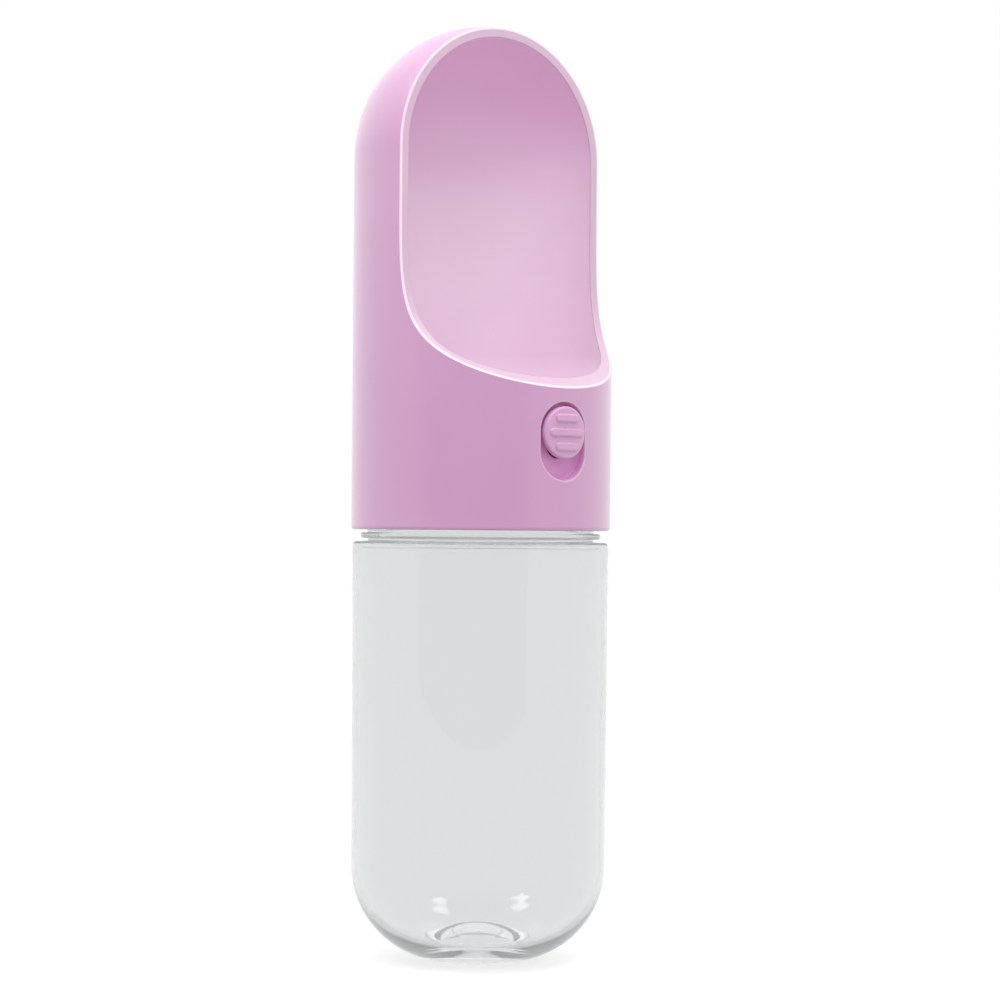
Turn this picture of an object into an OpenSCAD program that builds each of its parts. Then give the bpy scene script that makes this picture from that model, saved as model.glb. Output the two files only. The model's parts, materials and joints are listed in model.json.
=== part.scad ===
// Travel water bottle for a dog: a clear bottle with a hood-shaped drinking head.
// Millimetres. Z is up, the origin is the middle of the base, and the drinking
// opening and its button face -Y.

/* [Bottle] */
// Outer radius of the bottle's wall below the shoulder
bottle_r = 33.1; // [32.6:0.1:33.3]
// Outer radius of the wall where the rounded base begins
bottle_base_r = 32.9; // [32.4:0.1:33.1]
// Thickness of the bottle's wall
bottle_wall = 1.6; // [1.2:0.1:2.2]
// Height of the shoulder above the base
shoulder_z = 107.9; // [80:0.1:140]
// Radius of the base's rounded corner
base_corner = 24.3; // [20:0.1:24.4]
// Radius of the flat ring that the bottle stands on
stand_r = 11; // [10.6:0.1:14]
// Radius where the hollow under the base begins
punt_r = 9.8; // [9:0.1:10]
// Height of the hollow pushed up in the middle of the base
punt_h = 4.6; // [3:0.1:5]
// Thickness of the base in its middle
base_t = 3.6; // [3:0.1:4]
// Radius of the ring round the dome inside the base
dome_ring_r = 13.8; // [12:0.1:15]

/* [Neck and thread] */
// Gap between the shoulder and the head, where the neck shows
neck_gap = 2.9; // [2.6:0.1:4]
// Outer radius of the neck below its thread
neck_r = 28.2; // [27.8:0.1:28.4]
// Wall thickness of the neck
neck_wall = 1.7; // [1.2:0.1:2.2]
// Radius of the bead that runs round the neck
bead_r = 31.1; // [30:0.1:31.6]
// Rise of the thread in one turn
thread_pitch = 3.2; // [3:0.1:3.4]
// Height of a thread ridge above its wall
thread_h = 1.1; // [0.8:0.05:1.15]
// Length of each thread in degrees of turn
thread_deg = 450; // [360:30:480]

/* [Head] */
// Outer radius of the head
head_r = 33.5; // [33.4:0.1:33.8]
// Wall thickness of the hood at its rim
head_wall = 2.45; // [2.2:0.05:2.6]
// Height of the dome's centre above the head's lower edge
dome_up = 96.4; // [92:0.1:110]
// Distance of the opening's upright edge in front of the axis
rim_front = 7.6; // [5:0.1:10]
// Height of the opening's front lip above the head's lower edge
lip_up = 36.1; // [35.6:0.1:37]
// Height of the trough's floor above the head's lower edge
floor_up = 33.4; // [33.3:0.1:33.8]
// Thickness of the trough's floor
floor_t = 1.8; // [1.6:0.1:1.8]
// Radius between the trough's floor and its wall
trough_fillet = 13.5; // [12:0.1:14]

/* [Button and lock] */
// Width of the recess
slot_w = 14.3; // [14:0.1:14.6]
// Height of the recess
slot_h = 19.6; // [19.4:0.1:19.8]
// Height of the recess's middle above the head's lower edge
slot_up = 22.46; // [22.4:0.02:22.6]
// Radius of the round button
button_r = 6.55; // [6.3:0.05:6.6]
// Height of the button's middle above the head's lower edge
button_up = 24.65; // [24.6:0.05:24.7]
// How far the button's face stands in front of the head's wall
button_proud = 0.7; // [0.4:0.1:1]
// Height of the bars on the button's face
bar_h = 0.55; // [0.3:0.05:0.8]
// How far the button slides down to lock
lock_travel = 5.2; // [4.8:0.1:5.2]
// How far the button goes in
press_travel = 2; // [1:0.1:2]

/* [Valve] */
// Height of the valve rod above the head's lower edge
rod_up = 26.75; // [26.7:0.05:26.8]
// Radius of the valve rod
rod_r = 1.5; // [1.3:0.05:1.5]
// Radius of the hole that the valve's plug closes
seat_r = 2.6; // [2.3:0.1:2.8]
// Radius of the water outlet in the trough's floor
outlet_r = 2.2; // [1.8:0.1:2.4]

/* [Hidden] */
$fn = 96;

pink = [0.82, 0.66, 0.79];
deep_pink = [0.73, 0.50, 0.68];
clear = [0.80, 0.84, 0.85, 0.45];
milky = [0.93, 0.93, 0.92];
steel = [0.75, 0.76, 0.78];

// heights
head_z = shoulder_z + neck_gap;
dome_z = head_z + dome_up;
floor_z = head_z + floor_up;
under_z = floor_z - floor_t;
mouth_z = head_z + 7.8;
deck_z = mouth_z + 1.6;
deck_top = deck_z + 2;
rod_z = head_z + rod_up;
slot_z = head_z + slot_up;
button_z = head_z + button_up;

// radii
skirt_r = 31.1;
collar_r = skirt_r - 0.1;
collar_bore = neck_r + thread_h + 0.2;
trough_r = head_r - head_wall;

// depths along Y, from the front
face_y = -(head_r + button_proud);
cap_back = -32.4;
recess_y = -30.2;
recess_back = -29;
slider_front = -28.8;
slider_back = -26.8;
clip_y = -26.6;
retainer_y = -26.6;
retainer_t = 1.4;
stem_tip = -25.2;
pad_y = -25.1;

// valve housing, along Y
house_r = 4.6;
gland_y = -13;
gland_floor = -9.5;
wet_front = -7.5;
seat_y = 4.6;
seat_t = 1.6;
house_back = 17;
inlet_y = 11;
ear_y = 5;
ear_x = 8.5;
screw_x = 10.8;
screw_z = head_z + 22.2;

// strap anchor, at the back
strap_z = head_z + 26.2;
strap_y = 31.3;
strap_w = 10;
strap_h = 9;

// points of an arc about (cx, cy), from angle a0 to a1
function arc(cx, cy, r, a0, a1, n) =
    [for (i = [0:n]) let (a = a0 + (a1 - a0) * i / n)
        [cx + r * cos(a), cy + r * sin(a)]];

// outline of an upright obround of width w and height h
function obround(w, h, n = 20) =
    let (r = min(w, h) / 2, dx = w / 2 - r, dy = h / 2 - r)
    concat(arc(dx, dy, r, 0, 90, n), arc(-dx, dy, r, 90, 180, n),
           arc(-dx, -dy, r, 180, 270, n), arc(dx, -dy, r, 270, 360, n));

// one point of a cubic curve through four handles
function cubic(p, t) =
    pow(1 - t, 3) * p[0] + 3 * pow(1 - t, 2) * t * p[1]
    + 3 * (1 - t) * t * t * p[2] + pow(t, 3) * p[3];

// handles of the opening's edge, as [distance in front of the axis, height]
lip_handles = [
    [rim_front, head_z + lip_up + 43.3],
    [rim_front, head_z + lip_up + 18.2],
    [rim_front + 1.7, head_z + lip_up + 11],
    [head_r, head_z + lip_up]
];

// a ridge of trapezoid section that climbs round the Z axis;
// root and crest are radii, z0 is the height of its middle at angle a0
module helix_ridge(root, crest, z0, a0, sweep, pitch, wide, thin) {
    steps = ceil(sweep / 10);
    rise = function (i) let (e = min(i, steps - i) / 2.5) min(1, 0.12 + 0.88 * e);
    pts = [for (i = [0:steps])
        let (a = a0 + sweep * i / steps, z = z0 + pitch * sweep / 360 * i / steps,
             c = root + (crest - root) * rise(i), t = thin + (wide - thin) * (1 - rise(i)))
        each [
            [root * cos(a), root * sin(a), z - wide / 2],
            [c * cos(a), c * sin(a), z - t / 2],
            [c * cos(a), c * sin(a), z + t / 2],
            [root * cos(a), root * sin(a), z + wide / 2]
        ]];
    flip = crest < root;
    quads = [for (i = [0:steps - 1], k = [0:3])
        let (a = 4 * i + k, b = 4 * i + (k + 1) % 4)
        each [[a, b, b + 4], [a, b + 4, a + 4]]];
    ends = concat([[3, 2, 1], [3, 1, 0]],
        let (m = 4 * steps) [[m, m + 1, m + 2], [m, m + 2, m + 3]]);
    faces = concat(quads, ends);
    polyhedron(pts, flip ? [for (f = faces) [f[2], f[1], f[0]]] : faces, convexity = 6);
}

// a round-wire compression spring along Y, from y0 to y1
module coil(y0, y1, mid_r, wire_r, turns) {
    steps = turns * 14;
    n = 6;
    rise = (y1 - y0 - 2 * wire_r) / steps;
    pts = [for (i = [0:steps], k = [0:n - 1])
        let (a = 360 * i / 14, b = 360 * k / n, r = mid_r + wire_r * cos(b))
        [r * cos(a), y0 + wire_r + rise * i + wire_r * sin(b), r * sin(a)]];
    quads = [for (i = [0:steps - 1], k = [0:n - 1])
        let (a = n * i + k, b = n * i + (k + 1) % n)
        each [[a, b + n, b], [a, a + n, b + n]]];
    ends = [[for (k = [0:n - 1]) k], [for (k = [n - 1:-1:0]) n * steps + k]];
    polyhedron(pts, concat(quads, ends), convexity = 8);
}

// cylinder along Y from y0 to y1
module ycyl(r, y0, y1) {
    translate([0, y0, 0]) rotate([-90, 0, 0]) cylinder(r = r, h = y1 - y0);
}

// flat outline pushed along Y from y0 to y1, its second axis upright
module yplate(y0, y1) {
    translate([0, y1, 0]) rotate([90, 0, 0]) linear_extrude(y1 - y0) children();
}

// ring about Z between radii a and b and heights z0 and z1
module ring(a, b, z0, z1) {
    translate([0, 0, z0]) difference() {
        cylinder(r = b, h = z1 - z0);
        translate([0, 0, -1]) cylinder(r = a, h = z1 - z0 + 2);
    }
}

// ---------------------------------------------------------------- bottle

module bottle() {
    corner_x = bottle_base_r - base_corner;
    sink = base_corner - sqrt(pow(base_corner, 2) - pow(stand_r - corner_x, 2));
    corner_z = base_corner - sink;
    a_stand = -acos((stand_r - corner_x) / base_corner);
    // inside corner, thicker towards the base
    in_r = base_corner - 3.8;
    in_x = bottle_base_r - bottle_wall - in_r;
    a_in = -acos((dome_ring_r - in_x) / in_r);
    ring_z = corner_z + in_r * sin(a_in);
    // hollow under the base, and the dome over it
    punt_arc = (pow(punt_r, 2) + pow(punt_h, 2)) / (2 * punt_h);
    dome_h = punt_h + base_t - ring_z;
    dome_arc = (pow(dome_ring_r, 2) + pow(dome_h, 2)) / (2 * dome_h);
    outer = concat(
        arc(0, punt_h - punt_arc, punt_arc, 90, acos(punt_r / punt_arc), 8),
        arc(corner_x, corner_z, base_corner, a_stand, 0, 14),
        [[bottle_r, shoulder_z - 1.5]],
        arc(bottle_r - 1.5, shoulder_z - 1.5, 1.5, 10, 90, 6),
        [[29.3, shoulder_z], [29.3, shoulder_z + 0.7]],
        [[bead_r - 0.5, shoulder_z + 0.7], [bead_r, shoulder_z + 1.2],
         [bead_r, shoulder_z + 1.6], [bead_r - 0.5, shoulder_z + 2.1]],
        [[29.3, shoulder_z + 2.1], [29.3, head_z + 0.3], [neck_r, head_z + 0.8],
         [neck_r, mouth_z - 0.5], [neck_r - 0.5, mouth_z]]);
    inner = concat(
        [[neck_r - neck_wall + 0.4, mouth_z], [neck_r - neck_wall, mouth_z - 0.4],
         [neck_r - neck_wall, shoulder_z - 0.6]],
        arc(bottle_r - bottle_wall - 1.2, shoulder_z - 3.6, 1.2, 80, 0, 4),
        arc(in_x, corner_z, in_r, 0, a_in, 14),
        arc(0, punt_h + base_t - dome_arc, dome_arc, acos(dome_ring_r / dome_arc) + 5, 90, 7));
    color(clear) union() {
        rotate_extrude() polygon(concat(outer, inner));
        helix_ridge(neck_r - 0.4, neck_r + thread_h, head_z + 1.9, 0, thread_deg,
                    thread_pitch, 1.7 + 0.5, 0.8);
    }
}

module neck_gasket() {
    color(milky) ring(neck_r - neck_wall - 0.1, neck_r + 1, mouth_z + 0.02, deck_z - 0.02);
}

// ---------------------------------------------------------------- head

// space under the trough's floor
module skirt_space() {
    cx = trough_r - trough_fillet;
    cz = floor_z + trough_fillet;
    r = trough_fillet + floor_t;
    a0 = -acos((skirt_r - cx) / r);
    translate([0, 0, head_z - 5]) cylinder(r = skirt_r, h = under_z - head_z + 5);
    // the hollow round the trough's rounded edge, at the sides and the back
    intersection() {
        rotate_extrude() polygon(concat(
            [[0, under_z - 4], [skirt_r, under_z - 4]], arc(cx, cz, r, a0, -90, 8), [[0, under_z]]));
        translate([-50, -14, under_z - 6]) cube([100, 64, 30]);
    }
}

// what stands in that space
module skirt_islands() {
    // wall behind the recess
    translate([0, 0, slot_z]) yplate(-skirt_r - 1, recess_back) polygon(obround(slot_w + 2.2, slot_h + 2.2));
    // guides and bosses of the lock slider
    for (s = [-1, 1]) {
        translate([s * 8.6 - 0.45, -skirt_r, head_z + 15.5])
            cube([0.9, skirt_r + slider_back + 0.1, under_z - head_z - 15.5 + 1]);
        translate([s * screw_x, 0, screw_z]) ycyl(2.3, -skirt_r, retainer_y);
    }
    // bosses of the valve housing
    for (s = [-1, 1]) translate([s * ear_x, ear_y, rod_z - 2.7])
        cylinder(r = 2.6, h = under_z - rod_z + 2.7 + 1);
    // box behind the strap anchor
    translate([-8.2, strap_y - 4, strap_z - strap_h / 2 - 1.2]) cube([16.4, 6, strap_h + 2.4]);
    // bead that holds the collar
    ring(skirt_r - 0.4, skirt_r + 1, head_z + 3.9, head_z + 4.5);
}

module head_shell() {
    cx = trough_r - trough_fillet;
    cut = [for (i = [0:28]) let (q = cubic(lip_handles, i / 28)) [-q[0], q[1]]];
    color(pink) difference() {
        // outside
        rotate_extrude() polygon(concat(
            [[0, head_z], [head_r - 1, head_z]],
            arc(head_r - 1, head_z + 1, 1, -60, 0, 4),
            arc(0, dome_z, head_r, 0, 90, 22)));
        // trough
        rotate_extrude() polygon(concat(
            [[0, floor_z]], arc(cx, floor_z + trough_fillet, trough_fillet, -90, 0, 14),
            arc(0, dome_z, trough_r, 0, 90, 22)));
        // opening
        rotate([90, 0, 90]) linear_extrude(90, center = true) polygon(concat(
            [[-rim_front, dome_z + 60]], cut,
            [[-head_r - 10, head_z + lip_up - 4.6], [-head_r - 10, dome_z + 60]]));
        difference() {
            skirt_space();
            skirt_islands();
        }
        // recess, and the slot that the button's stem runs in
        translate([0, 0, slot_z]) yplate(-50, recess_y) polygon(obround(slot_w, slot_h));
        translate([0, 0, rod_z - lock_travel / 2]) yplate(-40, -20)
            polygon(obround(6.8, lock_travel + 6.8));
        // pilot holes of the retainer's screws
        for (s = [-1, 1]) translate([s * screw_x, 0, screw_z]) ycyl(1.05, -30.4, -20);
        // pilot holes of the housing's screws
        for (s = [-1, 1]) translate([s * ear_x, ear_y, rod_z - 6])
            cylinder(r = 1.05, h = under_z - rod_z + 6 - 0.9);
        // outlet
        translate([0, 0, under_z - 1]) cylinder(r = outlet_r, h = floor_t + 2);
        // strap anchor: a pocket with a pin across it
        translate([-strap_w / 2, strap_y - 2.8, strap_z - strap_h / 2]) cube([strap_w, 20, strap_h]);
        translate([-7.5, strap_y, strap_z]) rotate([0, 90, 0]) cylinder(r = 1.02, h = 15);
    }
}

module strap_pin() {
    color(steel) translate([-7.45, strap_y, strap_z]) rotate([0, 90, 0]) cylinder(r = 1, h = 14.9);
}

module threaded_collar() {
    color(pink) difference() {
        union() {
            translate([0, 0, head_z + 0.6]) cylinder(r = collar_r, h = deck_top - head_z - 0.6);
            translate([0, inlet_y, deck_top - 0.5]) cylinder(r = 6.8, h = 2.7);
        }
        difference() {
            translate([0, 0, head_z - 1]) cylinder(r = collar_bore, h = deck_z - head_z + 1);
            helix_ridge(collar_bore + 0.3, collar_bore - thread_h, head_z + 1.9 + 1.6 - 3.2 + 1.2, 135,
                        thread_deg, thread_pitch, 1.7 + 0.45, 0.8);
        }
        // groove of the shell's bead
        ring(skirt_r - 0.5, skirt_r + 1, head_z + 3.75, head_z + 4.65);
        // inlet, its seal's socket and its screen's seat
        translate([0, inlet_y, deck_z - 1]) {
            cylinder(r = 2.4, h = 10);
            cylinder(r = 4.8, h = 1.8);
            translate([0, 0, 3]) cylinder(r = 5.3, h = 10);
        }
        // air valve's stem and air holes
        translate([14, 6, deck_z - 1]) {
            cylinder(r = 1.3, h = 6);
            for (a = [0, 120, 240]) rotate([0, 0, a]) translate([2.6, 0, 0]) cylinder(r = 0.6, h = 6);
        }
    }
}

module inlet_screen() {
    color(steel) translate([0, inlet_y, deck_z + 0.02]) difference() {
        cylinder(r = 4.75, h = 0.76);
        translate([0, 0, -1]) {
            cylinder(r = 0.6, h = 4);
            for (a = [0:60:300]) rotate([0, 0, a]) translate([1.6, 0, 0]) cylinder(r = 0.5, h = 4);
        }
    }
}

module inlet_seal() {
    color(milky) translate([0, inlet_y, 0]) ring(4.05, 5.25, deck_top + 0.05, deck_top + 1.6);
}

module air_valve() {
    color(milky) translate([14, 6, 0]) union() {
        translate([0, 0, deck_z - 0.85]) cylinder(r = 4, h = 0.8);
        translate([0, 0, deck_z - 0.4]) cylinder(r = 1.2, h = 3);
        translate([0, 0, deck_top + 0.05]) cylinder(r = 1.9, h = 1.2);
    }
}

// ---------------------------------------------------------------- valve

module valve_housing() {
    color(milky) difference() {
        union() {
            translate([0, 0, rod_z]) ycyl(house_r, gland_y, house_back);
            translate([0, 0, rod_z]) cylinder(r = 4, h = under_z - 0.8 - rod_z);
            translate([0, inlet_y, deck_top + 0.1]) cylinder(r = 4, h = rod_z - deck_top);
            translate([-11, 1.5, rod_z - 4.95]) cube([22, 7, 2.2]);
        }
        translate([0, 0, rod_z]) {
            ycyl(3.2, gland_y - 1, gland_floor);
            ycyl(rod_r + 0.05, gland_y - 1, wet_front + 1);
            ycyl(3.3, wet_front, seat_y);
            ycyl(seat_r, seat_y - 1, seat_y + seat_t + 1);
            ycyl(3.7, seat_y + seat_t, house_back + 1);
            cylinder(r = outlet_r, h = 10);
        }
        // room for the outlet's washer
        translate([0, 0, under_z - 0.8]) cylinder(r = 4.2, h = 4);
        translate([0, inlet_y, deck_top - 1]) cylinder(r = 2.4, h = rod_z - deck_top + 1);
        for (s = [-1, 1]) translate([s * ear_x, ear_y, rod_z - 8]) cylinder(r = 1.35, h = 8);
    }
}

module gland_cap() {
    color(milky) translate([0, 0, rod_z]) difference() {
        union() {
            ycyl(house_r, gland_y - 1.4, gland_y - 0.03);
            ycyl(3.15, gland_y - 0.5, gland_floor - 1.85);
        }
        ycyl(rod_r + 0.1, gland_y - 3, gland_floor);
    }
}

module rod_seal() {
    color(deep_pink) translate([0, 0, rod_z]) difference() {
        ycyl(3.15, gland_floor - 1.8, gland_floor - 0.03);
        ycyl(rod_r + 0.02, gland_floor - 3, gland_floor + 1);
    }
}

module end_plug() {
    color(milky) translate([0, 0, rod_z]) union() {
        ycyl(3.65, 14.5, house_back + 1);
        ycyl(house_r, house_back + 0.9, house_back + 2.2);
        ycyl(1.2, 12.9, 15);
    }
}

module plug_seal() {
    color(deep_pink) translate([0, 0, rod_z]) difference() {
        ycyl(house_r, house_back + 0.03, house_back + 0.87);
        ycyl(3.7, house_back - 1, house_back + 3);
    }
}

module outlet_seal() {
    color(milky) ring(outlet_r + 0.1, 4.1, under_z - 0.78, under_z - 0.02);
}

// a pan-head screw along Z, its head's top at the origin, cut with a cross
module screw(head, head_t, shank, len) {
    difference() {
        union() {
            cylinder(r = head, h = head_t);
            translate([0, 0, head_t - 0.2]) cylinder(r = shank, h = len + 0.2);
        }
        for (a = [0, 90]) rotate([0, 0, a]) translate([-head * 0.6, -0.3, -1]) cube([head * 1.2, 0.6, 1.7]);
    }
}

module housing_screws() {
    color(steel) for (s = [-1, 1]) translate([s * ear_x, ear_y, rod_z - 4.98 - 1.4])
        screw(2.3, 1.4, 1.0, 7.6);
}

module valve_rod() {
    color(steel) translate([0, 0, rod_z]) union() {
        ycyl(rod_r, pad_y + 0.95, 9);
        ycyl(2.6, 8.3, 9.6);
    }
}

module push_pad() {
    color(milky) translate([0, 0, rod_z]) difference() {
        ycyl(2.4, pad_y, pad_y + 3.6);
        ycyl(rod_r + 0.02, pad_y + 0.9, pad_y + 5);
    }
}

module valve_plug() {
    color(deep_pink) translate([0, 0, rod_z]) difference() {
        ycyl(3.35, seat_y + seat_t + 0.05, 8.25);
        ycyl(rod_r + 0.02, seat_y, 10);
    }
}

module valve_spring() {
    color(steel) translate([0, 0, rod_z]) coil(9.65, 14.45, 2.6, 0.25, 4);
}

// ---------------------------------------------------------------- button and lock

// a round bar with two flats, along Y
module double_d(r, flat, y0, y1) {
    intersection() {
        ycyl(r, y0, y1);
        translate([-flat, y0 - 1, -r - 1]) cube([2 * flat, y1 - y0 + 2, 2 * r + 2]);
    }
}

module button_cap() {
    color(deep_pink) difference() {
        union() {
            intersection() {
                translate([0, 0, button_z]) ycyl(button_r, face_y - 1, cap_back);
                translate([0, 0, button_z - 10]) cylinder(r = -face_y, h = 20);
            }
            // grip bars
            intersection() {
                union() for (b = [[-3.58, 7.2], [0, 10.6], [3.58, 7.2]])
                    translate([0, 0, button_z + b[0]]) yplate(face_y - 3, cap_back - 0.5)
                        polygon(obround(b[1], 2, 6));
                translate([0, 0, button_z - 10]) cylinder(r = bar_h - face_y, h = 20);
            }
            translate([0, 0, rod_z]) double_d(1.9, 1.5, cap_back - 0.5, stem_tip);
        }
        // groove of the clip
        translate([0, 0, rod_z]) difference() {
            ycyl(3, clip_y, clip_y + 0.6);
            ycyl(1.3, clip_y - 1, clip_y + 2);
        }
    }
}

module button_spring() {
    color(steel) translate([0, 0, rod_z]) coil(cap_back + 0.05, slider_front - 0.05, 2.55, 0.22, 4);
}

module stem_clip() {
    color(steel) translate([0, 0, rod_z]) difference() {
        ycyl(2.7, clip_y + 0.03, clip_y + 0.57);
        ycyl(1.33, clip_y - 1, clip_y + 2);
        translate([-0.9, clip_y - 1, -5]) cube([1.8, 3, 5]);
    }
}

module lock_slider() {
    color(milky) difference() {
        translate([-8, slider_front, head_z + 21.5]) cube([16, slider_back - slider_front, 9.6]);
        translate([0, 0, rod_z]) double_d(1.97, 1.57, slider_front - 1, slider_back + 1);
    }
}

module slider_retainer() {
    color(milky) translate([0, 0, 0]) difference() {
        translate([-13, retainer_y + 0.05, head_z + 13.8]) cube([26, retainer_t, under_z - head_z - 14.4]);
        translate([0, 0, rod_z - lock_travel / 2]) yplate(-30, -20) polygon(obround(6.6, lock_travel + 6.6));
        for (s = [-1, 1]) translate([s * screw_x, 0, screw_z]) ycyl(1.25, -30, -20);
    }
}

module retainer_screws() {
    color(steel) for (s = [-1, 1])
        translate([s * screw_x, retainer_y + retainer_t + 0.08 + 1.2, screw_z]) rotate([90, 0, 0])
            screw(2.1, 1.2, 1.0, 4.8);
}

bottle();
neck_gasket();
head_shell();
threaded_collar();
inlet_screen();
inlet_seal();
valve_housing();
gland_cap();
rod_seal();
end_plug();
plug_seal();
outlet_seal();
housing_screws();
slider_retainer();
retainer_screws();
strap_pin();
air_valve();
lock_slider();
button_cap();
button_spring();
stem_clip();
valve_rod();
push_pad();
valve_plug();
valve_spring();
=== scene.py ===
import json
import math

import bpy
import numpy as np
from mathutils import Matrix, Vector
from mathutils.geometry import delaunay_2d_cdt

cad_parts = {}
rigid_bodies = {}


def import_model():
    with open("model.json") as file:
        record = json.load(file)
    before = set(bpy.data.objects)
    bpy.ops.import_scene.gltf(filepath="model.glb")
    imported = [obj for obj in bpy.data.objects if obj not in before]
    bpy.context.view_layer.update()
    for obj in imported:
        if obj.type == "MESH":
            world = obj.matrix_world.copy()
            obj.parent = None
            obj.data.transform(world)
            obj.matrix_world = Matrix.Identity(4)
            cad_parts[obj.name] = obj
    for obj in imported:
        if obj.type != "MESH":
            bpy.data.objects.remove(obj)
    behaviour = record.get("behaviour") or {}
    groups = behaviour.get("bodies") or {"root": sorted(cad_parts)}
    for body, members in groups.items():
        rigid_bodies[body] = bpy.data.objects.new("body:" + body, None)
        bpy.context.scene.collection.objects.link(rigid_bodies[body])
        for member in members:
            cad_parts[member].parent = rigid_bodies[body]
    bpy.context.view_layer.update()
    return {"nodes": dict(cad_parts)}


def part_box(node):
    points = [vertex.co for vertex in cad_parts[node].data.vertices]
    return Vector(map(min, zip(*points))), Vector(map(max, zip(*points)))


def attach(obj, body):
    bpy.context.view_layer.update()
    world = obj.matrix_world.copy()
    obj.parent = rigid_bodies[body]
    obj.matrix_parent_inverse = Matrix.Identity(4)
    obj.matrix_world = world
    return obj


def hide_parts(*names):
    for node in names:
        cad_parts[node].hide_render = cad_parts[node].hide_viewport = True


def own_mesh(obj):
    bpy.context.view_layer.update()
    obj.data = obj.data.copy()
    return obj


for ob in list(bpy.data.objects):
    bpy.data.objects.remove(ob)
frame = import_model()

# Sizes in millimetres, as the frame has them.
R = 33.5            # outside of the head
RI = 31.05          # wall of the trough
HZ = 110.8          # lower edge of the head
DZ = 207.2          # centre of the dome
FZ = 144.2          # floor of the trough
UZ = 142.4          # underside of that floor
TF = 13.5           # fillet between floor and wall
TX, TZ = RI - TF, FZ + TF
SK = 31.1           # inside of the skirt
SLOT_Z = 133.26     # middle of the recess
BTN_Z = 135.45      # middle of the button
ROD_Z = 137.55      # axis of the stem
SCREW_X, EAR_X, EAR_Y = 10.8, 8.5, 5.0
LIP = [(7.6, 190.2), (7.6, 165.1), (9.3, 157.9), (33.5, 146.9)]
RIM_TOP = 246.0


# ------------------------------------------------------------------ camera

def set_camera():
    data = bpy.data.cameras.new("camera")
    data.sensor_width = 36.0
    data.lens = 105.76
    data.shift_x = 0.01942
    data.shift_y = 0.02533
    data.clip_start = 0.01
    data.clip_end = 20
    cam = bpy.data.objects.new("camera", data)
    bpy.context.scene.collection.objects.link(cam)
    a = math.radians(38.88)
    cam.matrix_world = (Matrix.Translation((-math.sin(a) * 0.7611, -math.cos(a) * 0.7611, 0.11205))
                        @ Matrix.Rotation(-a, 4, "Z") @ Matrix.Rotation(math.radians(90), 4, "X")
                        @ Matrix.Rotation(math.radians(0.48), 4, "Z"))
    bpy.context.scene.camera = cam


set_camera()


# ------------------------------------------------------------------ mesh tools

def unit(v):
    v = np.asarray(v, float)
    return v / np.maximum(np.linalg.norm(v, axis=-1, keepdims=True), 1e-12)


def inside(q, loops):
    """Even-odd test of the points q against closed loops in the plane."""
    hit = np.zeros(len(q), bool)
    for loop in loops:
        a, b = loop, np.roll(loop, -1, axis=0)
        for i in range(0, len(q), 4000):
            x, y = q[i:i + 4000, 0:1], q[i:i + 4000, 1:2]
            cross = (a[:, 1] > y) != (b[:, 1] > y)
            with np.errstate(divide="ignore", invalid="ignore"):
                xi = a[:, 0] + (y - a[:, 1]) * (b[:, 0] - a[:, 0]) / (b[:, 1] - a[:, 1])
            hit[i:i + 4000] ^= (np.sum(cross & (x < xi), axis=1) % 2).astype(bool)
    return hit


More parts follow.
